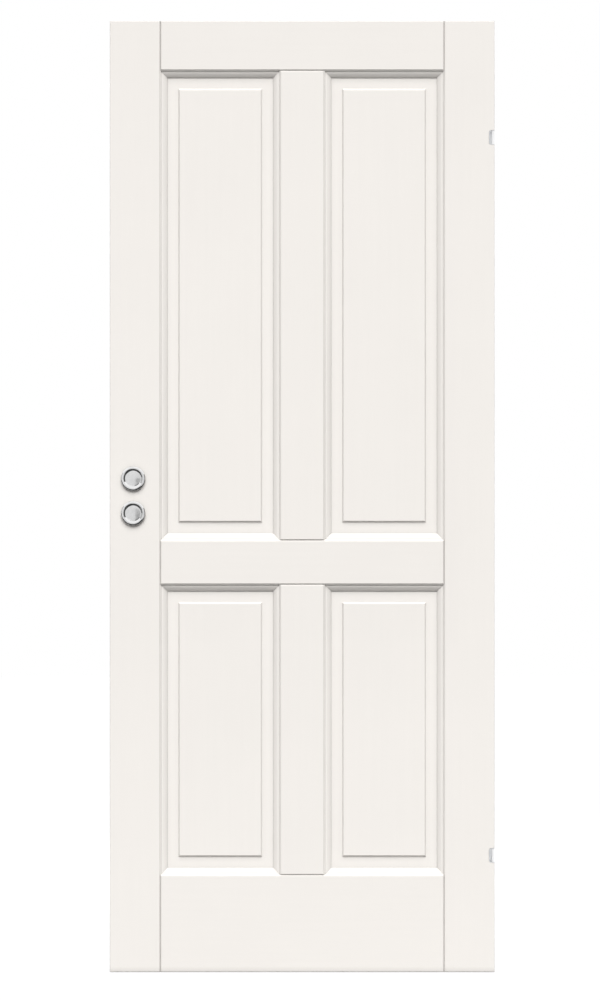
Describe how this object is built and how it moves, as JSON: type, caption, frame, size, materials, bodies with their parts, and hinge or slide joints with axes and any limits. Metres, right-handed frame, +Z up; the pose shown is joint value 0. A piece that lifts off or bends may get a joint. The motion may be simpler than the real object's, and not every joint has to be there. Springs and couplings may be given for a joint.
{
  "type": "door leaf",
  "caption": "White painted panelled interior door leaf with stepped mouldings, round chrome blind rosettes, a mortise lock and hinge sockets in its edge",
  "frame": {"origin": "middle of the foot of the leaf, halfway through its thickness", "axes": "+X to the hinge edge, +Y from the front face (the picture's) to the rear, +Z up"},
  "size_m": [0.825, 0.054, 2.04],
  "materials": {
    "white_paint": "solid pine and board under satin white paint",
    "beech": "plain beech dowel, glued",
    "zinc_sheet": "pressed steel sheet, bright zinc plated",
    "screw_steel": "steel screw, zinc plated",
    "satin_steel": "satin ground steel",
    "spring_steel": "drawn spring wire",
    "nylon": "moulded black nylon",
    "chrome": "polished chrome plate on pressed steel",
    "bright_zinc": "cast housing, bright zinc plated",
    "pin_steel": "ground steel pin"
  },
  "bodies": {
    "leaf": {"lock_stile": "white_paint", "hinge_stile": "white_paint", "top_rail": "white_paint", "lock_rail": "white_paint", "bottom_rail": "white_paint", "upper_mullion": "white_paint", "lower_mullion": "white_paint", "upper_left_panel": "white_paint", "upper_right_panel": "white_paint", "lower_left_panel": "white_paint", "lower_right_panel": "white_paint", "rail_dowels": "beech", "mullion_dowels": "beech", "lock_case": "zinc_sheet", "lock_cover": "zinc_sheet", "lock_cover_screws": "screw_steel", "forend": "satin_steel", "forend_screws": "screw_steel", "latch_spring": "spring_steel", "front_upper_base": "nylon", "front_lower_base": "nylon", "rear_upper_base": "nylon", "rear_lower_base": "nylon", "base_screws": "screw_steel", "front_upper_rosette": "chrome", "front_lower_rosette": "chrome", "rear_upper_rosette": "chrome", "rear_lower_rosette": "chrome", "upper_hinge_socket": "bright_zinc", "lower_hinge_socket": "bright_zinc", "upper_hinge_pin": "pin_steel", "lower_hinge_pin": "pin_steel", "hinge_screws": "screw_steel"},
    "latch": {"latch_bolt": "satin_steel"},
    "handle_hub": {"handle_follower": "satin_steel"},
    "bolt": {"dead_bolt": "satin_steel"},
    "bolt_hub": {"bolt_follower": "satin_steel"}
  },
  "joints": [
    {"name": "handle_turn", "type": "hinge", "parent": "leaf", "child": "handle_hub", "pos_m": [-0.3625, 0, 1.0585], "axis": [0, -1, 0], "range_deg": [0, 35]},
    {"name": "latch_slide", "type": "slide", "parent": "leaf", "child": "latch", "axis": [-1, 0, 0], "range_m": [0, 0.01222], "deforming": ["latch_spring"]},
    {"name": "bolt_turn", "type": "hinge", "parent": "leaf", "child": "bolt_hub", "pos_m": [-0.3625, 0, 0.984], "axis": [0, -1, 0], "range_deg": [0, 90]},
    {"name": "bolt_slide", "type": "slide", "parent": "leaf", "child": "bolt", "axis": [-1, 0, 0], "range_m": [0, 0.013]}
  ],
  "couplings": [
    {"joint": "handle_turn", "follows": "latch_slide", "rad_per_m": 50},
    {"joint": "bolt_turn", "follows": "bolt_slide", "rad_per_m": 120.83}
  ]
}
